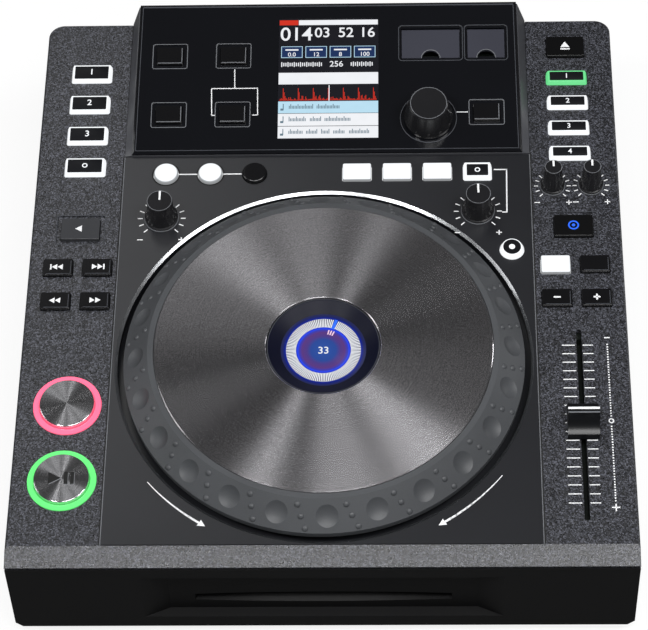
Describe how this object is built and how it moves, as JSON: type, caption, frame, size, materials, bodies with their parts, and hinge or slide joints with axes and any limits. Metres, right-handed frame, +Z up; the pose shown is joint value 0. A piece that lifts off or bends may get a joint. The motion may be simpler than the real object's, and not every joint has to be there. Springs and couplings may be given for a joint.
{
  "type": "tabletop disc player",
  "caption": "Tabletop disc player for mixing: sloping deck with turning jog wheel, pitch fader, push buttons and knobs, raised display block with port doors, and front disc slot.",
  "frame": {"origin": "under the middle of the whole player, on the surface its feet stand on", "axes": "+X to the right side of the player as its user sees it, +Y to the rear with the sockets, +Z up"},
  "size_m": [0.314, 0.353, 0.1072],
  "materials": {
    "case_plastic": "fine pebble grain, dark charcoal",
    "deck_satin": "smooth satin dark grey",
    "panel_gloss": "polished near black",
    "housing_plastic": "satin",
    "screen_glass": "polished",
    "jog_metal": "spun, fine radial sheen",
    "jog_rubber": "soft satin grey",
    "hub_plastic": "plain",
    "display_window": "polished, blue glow behind it",
    "play_metal": "spun",
    "key_gloss": "polished black",
    "key_satin": "satin dark",
    "lit_key": "translucent white, lit from below",
    "source_key": "translucent, lit edge round a dark inset",
    "disc_key": "translucent, lit green",
    "light_plastic": "translucent, lit",
    "knob_plastic": "fine texture",
    "fader_plastic": "dark, polished",
    "door_plastic": "smoky grey-blue",
    "sheet_steel": "plain zinc",
    "board": "dark green board with parts",
    "socket_plastic": "plain black",
    "foot_rubber": "dull black",
    "screw_steel": "blackened"
  },
  "bodies": {
    "casing": {"bottom_case": "case_plastic", "top_case": "case_plastic", "centre_deck": "deck_satin", "display_housing": "housing_plastic", "control_panel": "panel_gloss", "touch_screen": "screen_glass", "jog_display": "display_window", "disc_drive": "sheet_steel", "circuit_boards": "board", "rear_sockets": "socket_plastic", "feet": "foot_rubber", "screws": "screw_steel", "light_collars": "light_plastic"},
    "jog_wheel": {"jog_hub": "hub_plastic", "jog_plate": "jog_metal", "jog_ring": "jog_rubber"},
    "hot_cue_1_button": {"hot_cue_1_button": "source_key"},
    "hot_cue_2_button": {"hot_cue_2_button": "source_key"},
    "hot_cue_3_button": {"hot_cue_3_button": "source_key"},
    "memory_button": {"memory_button": "source_key"},
    "reverse_button": {"reverse_button": "key_satin"},
    "track_back_button": {"track_back_button": "key_gloss"},
    "track_next_button": {"track_next_button": "key_gloss"},
    "search_back_button": {"search_back_button": "key_gloss"},
    "search_forward_button": {"search_forward_button": "key_gloss"},
    "cue_button": {"cue_button": "play_metal"},
    "play_pause_button": {"play_pause_button": "play_metal"},
    "eject_button": {"eject_button": "key_satin"},
    "source_disc_button": {"source_disc_button": "disc_key"},
    "source_usb_button": {"source_usb_button": "source_key"},
    "source_card_button": {"source_card_button": "source_key"},
    "source_midi_button": {"source_midi_button": "source_key"},
    "jog_mode_button": {"jog_mode_button": "key_satin"},
    "master_tempo_button": {"master_tempo_button": "lit_key"},
    "pitch_range_button": {"pitch_range_button": "key_gloss"},
    "pitch_minus_button": {"pitch_minus_button": "key_gloss"},
    "pitch_plus_button": {"pitch_plus_button": "key_gloss"},
    "loop_in_button": {"loop_in_button": "lit_key"},
    "loop_out_button": {"loop_out_button": "lit_key"},
    "reloop_button": {"reloop_button": "key_gloss"},
    "filter_effect_button": {"filter_effect_button": "lit_key"},
    "flanger_effect_button": {"flanger_effect_button": "lit_key"},
    "echo_effect_button": {"echo_effect_button": "lit_key"},
    "effect_hold_button": {"effect_hold_button": "source_key"},
    "slip_button": {"slip_button": "source_key"},
    "text_mode_button": {"text_mode_button": "key_gloss"},
    "tempo_count_button": {"tempo_count_button": "key_gloss"},
    "auto_cue_button": {"auto_cue_button": "key_gloss"},
    "tempo_lock_button": {"tempo_lock_button": "key_gloss"},
    "back_button": {"back_button": "key_gloss"},
    "jog_weight_knob": {"jog_weight_knob": "knob_plastic"},
    "effect_depth_knob": {"effect_depth_knob": "knob_plastic"},
    "start_time_knob": {"start_time_knob": "knob_plastic"},
    "stop_time_knob": {"stop_time_knob": "knob_plastic"},
    "select_plunger": {"select_plunger": "hub_plastic"},
    "select_knob": {"select_knob": "knob_plastic"},
    "pitch_fader": {"pitch_fader_cap": "fader_plastic"},
    "card_door": {"card_door": "door_plastic"},
    "usb_door": {"usb_door": "door_plastic"},
    "power_switch": {"power_switch": "key_gloss"}
  },
  "joints": [
    {"name": "hot_cue_1_press", "type": "slide", "parent": "casing", "child": "hot_cue_1_button", "axis": [0, 0.0698, -0.9976], "range_m": [0, 0.0008], "stiffness_N_per_m": 1000, "springref_m": -0.0005},
    {"name": "hot_cue_2_press", "type": "slide", "parent": "casing", "child": "hot_cue_2_button", "axis": [0, 0.0698, -0.9976], "range_m": [0, 0.0008], "stiffness_N_per_m": 1000, "springref_m": -0.0005},
    {"name": "hot_cue_3_press", "type": "slide", "parent": "casing", "child": "hot_cue_3_button", "axis": [0, 0.0698, -0.9976], "range_m": [0, 0.0008], "stiffness_N_per_m": 1000, "springref_m": -0.0005},
    {"name": "memory_press", "type": "slide", "parent": "casing", "child": "memory_button", "axis": [0, 0.0698, -0.9976], "range_m": [0, 0.0008], "stiffness_N_per_m": 1000, "springref_m": -0.0005},
    {"name": "reverse_press", "type": "slide", "parent": "casing", "child": "reverse_button", "axis": [0, 0.0698, -0.9976], "range_m": [0, 0.0008], "stiffness_N_per_m": 1000, "springref_m": -0.0005},
    {"name": "track_back_press", "type": "slide", "parent": "casing", "child": "track_back_button", "axis": [0, 0.0698, -0.9976], "range_m": [0, 0.0008], "stiffness_N_per_m": 1000, "springref_m": -0.0005},
    {"name": "track_next_press", "type": "slide", "parent": "casing", "child": "track_next_button", "axis": [0, 0.0698, -0.9976], "range_m": [0, 0.0008], "stiffness_N_per_m": 1000, "springref_m": -0.0005},
    {"name": "search_back_press", "type": "slide", "parent": "casing", "child": "search_back_button", "axis": [0, 0.0698, -0.9976], "range_m": [0, 0.0008], "stiffness_N_per_m": 1000, "springref_m": -0.0005},
    {"name": "search_forward_press", "type": "slide", "parent": "casing", "child": "search_forward_button", "axis": [0, 0.0698, -0.9976], "range_m": [0, 0.0008], "stiffness_N_per_m": 1000, "springref_m": -0.0005},
    {"name": "cue_press", "type": "slide", "parent": "casing", "child": "cue_button", "axis": [0, 0.0698, -0.9976], "range_m": [0, 0.0008], "stiffness_N_per_m": 1000, "springref_m": -0.0005},
    {"name": "play_pause_press", "type": "slide", "parent": "casing", "child": "play_pause_button", "axis": [0, 0.0698, -0.9976], "range_m": [0, 0.0008], "stiffness_N_per_m": 1000, "springref_m": -0.0005},
    {"name": "eject_press", "type": "slide", "parent": "casing", "child": "eject_button", "axis": [0, 0.0698, -0.9976], "range_m": [0, 0.0008], "stiffness_N_per_m": 1000, "springref_m": -0.0005},
    {"name": "source_disc_press", "type": "slide", "parent": "casing", "child": "source_disc_button", "axis": [0, 0.0698, -0.9976], "range_m": [0, 0.0008], "stiffness_N_per_m": 1000, "springref_m": -0.0005},
    {"name": "source_usb_press", "type": "slide", "parent": "casing", "child": "source_usb_button", "axis": [0, 0.0698, -0.9976], "range_m": [0, 0.0008], "stiffness_N_per_m": 1000, "springref_m": -0.0005},
    {"name": "source_card_press", "type": "slide", "parent": "casing", "child": "source_card_button", "axis": [0, 0.0698, -0.9976], "range_m": [0, 0.0008], "stiffness_N_per_m": 1000, "springref_m": -0.0005},
    {"name": "source_midi_press", "type": "slide", "parent": "casing", "child": "source_midi_button", "axis": [0, 0.0698, -0.9976], "range_m": [0, 0.0008], "stiffness_N_per_m": 1000, "springref_m": -0.0005},
    {"name": "jog_mode_press", "type": "slide", "parent": "casing", "child": "jog_mode_button", "axis": [0, 0.0698, -0.9976], "range_m": [0, 0.0008], "stiffness_N_per_m": 1000, "springref_m": -0.0005},
    {"name": "master_tempo_press", "type": "slide", "parent": "casing", "child": "master_tempo_button", "axis": [0, 0.0698, -0.9976], "range_m": [0, 0.0008], "stiffness_N_per_m": 1000, "springref_m": -0.0005},
    {"name": "pitch_range_press", "type": "slide", "parent": "casing", "child": "pitch_range_button", "axis": [0, 0.0698, -0.9976], "range_m": [0, 0.0008], "stiffness_N_per_m": 1000, "springref_m": -0.0005},
    {"name": "pitch_minus_press", "type": "slide", "parent": "casing", "child": "pitch_minus_button", "axis": [0, 0.0698, -0.9976], "range_m": [0, 0.0008], "stiffness_N_per_m": 1000, "springref_m": -0.0005},
    {"name": "pitch_plus_press", "type": "slide", "parent": "casing", "child": "pitch_plus_button", "axis": [0, 0.0698, -0.9976], "range_m": [0, 0.0008], "stiffness_N_per_m": 1000, "springref_m": -0.0005},
    {"name": "loop_in_press", "type": "slide", "parent": "casing", "child": "loop_in_button", "axis": [0, 0.0698, -0.9976], "range_m": [0, 0.0008], "stiffness_N_per_m": 1000, "springref_m": -0.0005},
    {"name": "loop_out_press", "type": "slide", "parent": "casing", "child": "loop_out_button", "axis": [0, 0.0698, -0.9976], "range_m": [0, 0.0008], "stiffness_N_per_m": 1000, "springref_m": -0.0005},
    {"name": "reloop_press", "type": "slide", "parent": "casing", "child": "reloop_button", "axis": [0, 0.0698, -0.9976], "range_m": [0, 0.0008], "stiffness_N_per_m": 1000, "springref_m": -0.0005},
    {"name": "filter_effect_press", "type": "slide", "parent": "casing", "child": "filter_effect_button", "axis": [0, 0.0698, -0.9976], "range_m": [0, 0.0008], "stiffness_N_per_m": 1000, "springref_m": -0.0005},
    {"name": "flanger_effect_press", "type": "slide", "parent": "casing", "child": "flanger_effect_button", "axis": [0, 0.0698, -0.9976], "range_m": [0, 0.0008], "stiffness_N_per_m": 1000, "springref_m": -0.0005},
    {"name": "echo_effect_press", "type": "slide", "parent": "casing", "child": "echo_effect_button", "axis": [0, 0.0698, -0.9976], "range_m": [0, 0.0008], "stiffness_N_per_m": 1000, "springref_m": -0.0005},
    {"name": "effect_hold_press", "type": "slide", "parent": "casing", "child": "effect_hold_button", "axis": [0, 0.0698, -0.9976], "range_m": [0, 0.0008], "stiffness_N_per_m": 1000, "springref_m": -0.0005},
    {"name": "slip_press", "type": "slide", "parent": "casing", "child": "slip_button", "axis": [0, 0.0698, -0.9976], "range_m": [0, 0.0008], "stiffness_N_per_m": 1000, "springref_m": -0.0005},
    {"name": "text_mode_press", "type": "slide", "parent": "casing", "child": "text_mode_button", "axis": [0, 0.2026, -0.9793], "range_m": [0, 0.0008], "stiffness_N_per_m": 1000, "springref_m": -0.0005},
    {"name": "tempo_count_press", "type": "slide", "parent": "casing", "child": "tempo_count_button", "axis": [0, 0.2026, -0.9793], "range_m": [0, 0.0008], "stiffness_N_per_m": 1000, "springref_m": -0.0005},
    {"name": "auto_cue_press", "type": "slide", "parent": "casing", "child": "auto_cue_button", "axis": [0, 0.2026, -0.9793], "range_m": [0, 0.0008], "stiffness_N_per_m": 1000, "springref_m": -0.0005},
    {"name": "tempo_lock_press", "type": "slide", "parent": "casing", "child": "tempo_lock_button", "axis": [0, 0.2026, -0.9793], "range_m": [0, 0.0008], "stiffness_N_per_m": 1000, "springref_m": -0.0005},
    {"name": "back_press", "type": "slide", "parent": "casing", "child": "back_button", "axis": [0, 0.2026, -0.9793], "range_m": [0, 0.0008], "stiffness_N_per_m": 1000, "springref_m": -0.0005},
    {"name": "jog_weight_knob_turn", "type": "hinge", "parent": "casing", "child": "jog_weight_knob", "pos_m": [-0.0879, 0.03312, 0.07944], "axis": [0, -0.0698, 0.9976], "range_deg": [-140, 140]},
    {"name": "effect_depth_knob_turn", "type": "hinge", "parent": "casing", "child": "effect_depth_knob", "pos_m": [0.0811, 0.03631, 0.07966], "axis": [0, -0.0698, 0.9976], "range_deg": [-140, 140]},
    {"name": "start_time_knob_turn", "type": "hinge", "parent": "casing", "child": "start_time_knob", "pos_m": [0.1214, 0.05267, 0.0808], "axis": [0, -0.0698, 0.9976], "range_deg": [-140, 140]},
    {"name": "stop_time_knob_turn", "type": "hinge", "parent": "casing", "child": "stop_time_knob", "pos_m": [0.142, 0.05287, 0.08082], "axis": [0, -0.0698, 0.9976], "range_deg": [-140, 140]},
    {"name": "select_press", "type": "slide", "parent": "casing", "child": "select_plunger", "axis": [0, 0.2026, -0.9793], "range_m": [0, 0.0008], "stiffness_N_per_m": 1500, "springref_m": -0.0005},
    {"name": "select_turn", "type": "hinge", "parent": "select_plunger", "child": "select_knob", "pos_m": [0.0553, 0.09458, 0.08951], "axis": [0, -0.2026, 0.9793], "continuous": true},
    {"name": "jog_turn", "type": "hinge", "parent": "casing", "child": "jog_wheel", "pos_m": [0, -0.05746, 0.0731], "axis": [0, -0.0698, 0.9976], "continuous": true},
    {"name": "pitch_slide", "type": "slide", "parent": "casing", "child": "pitch_fader", "axis": [0, 0.9976, 0.0698], "range_m": [-0.05, 0.05]},
    {"name": "card_door_hinge", "type": "hinge", "parent": "casing", "child": "card_door", "pos_m": [0.0569, 0.14979, 0.09955], "axis": [-1, 0, 0], "range_deg": [0, 95]},
    {"name": "usb_door_hinge", "type": "hinge", "parent": "casing", "child": "usb_door", "pos_m": [0.0874, 0.14979, 0.09955], "axis": [-1, 0, 0], "range_deg": [0, 95]},
    {"name": "power_rock", "type": "hinge", "parent": "casing", "child": "power_switch", "pos_m": [0.096, 0.16449, 0.034], "axis": [1, 0, 0], "range_deg": [0, 14]}
  ]
}
